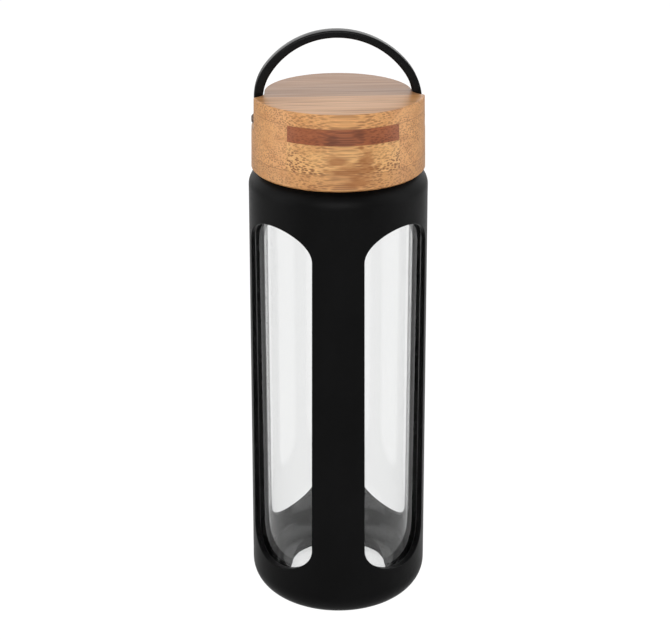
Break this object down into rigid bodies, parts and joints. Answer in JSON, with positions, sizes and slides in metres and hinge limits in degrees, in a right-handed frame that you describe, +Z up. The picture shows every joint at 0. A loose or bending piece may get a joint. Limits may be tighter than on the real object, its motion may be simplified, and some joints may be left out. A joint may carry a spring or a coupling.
{
  "type": "glass water bottle",
  "caption": "Tall glass water bottle in a windowed silicone sleeve, closed by a glued-up bamboo screw lid with a folding carry handle.",
  "frame": {"origin": "on the bottle's axis, at the underside of the sleeve's foot", "axes": "+Z up along the bottle's axis; X along the handle's pivots; the lid's shouldered front faces -Y and the handle folds back towards +Y"},
  "size_m": [0.0724, 0.0724, 0.2375],
  "materials": {
    "clear_glass": "clear polished soda-lime glass",
    "black_silicone": "matte moulded silicone",
    "white_polypropylene": "satin moulded polypropylene",
    "clear_silicone": "translucent silicone",
    "bamboo": "satin oiled bamboo",
    "bamboo_pale": "satin oiled bamboo",
    "bamboo_dark": "satin oiled carbonised bamboo",
    "bamboo_face": "satin oiled bamboo, flat grain",
    "black_plastic": "satin moulded plastic",
    "bronzed_steel": "dark bronzed steel"
  },
  "bodies": {
    "bottle": {"glass_bottle": "clear_glass", "silicone_sleeve": "black_silicone"},
    "seal": {"seal_ring": "clear_silicone"},
    "lid": {"threaded_liner": "white_polypropylene", "lid_bottom_board": "bamboo", "lid_core_block": "bamboo", "lid_front_block": "bamboo_pale", "lid_dark_strip": "bamboo_dark", "lid_top_board_front": "bamboo_face", "lid_top_board_rear": "bamboo_face", "pivot_screw_left": "bronzed_steel", "pivot_screw_right": "bronzed_steel"},
    "handle": {"carry_handle": "black_plastic"}
  },
  "joints": [
    {"name": "lid_lift", "type": "slide", "parent": "bottle", "child": "seal", "axis": [0, 0, 1], "range_m": [0, 0.0161]},
    {"name": "lid_turn", "type": "hinge", "parent": "seal", "child": "lid", "pos_m": [0, 0, 0.195], "axis": [0, 0, 1], "range_deg": [0, 1440]},
    {"name": "handle_fold", "type": "hinge", "parent": "lid", "child": "handle", "pos_m": [0, 0, 0.2035], "axis": [-1, 0, 0], "range_deg": [0, 90]}
  ],
  "couplings": [
    {"joint": "lid_lift", "follows": "lid_turn", "m_per_rad": 0.00063662}
  ]
}
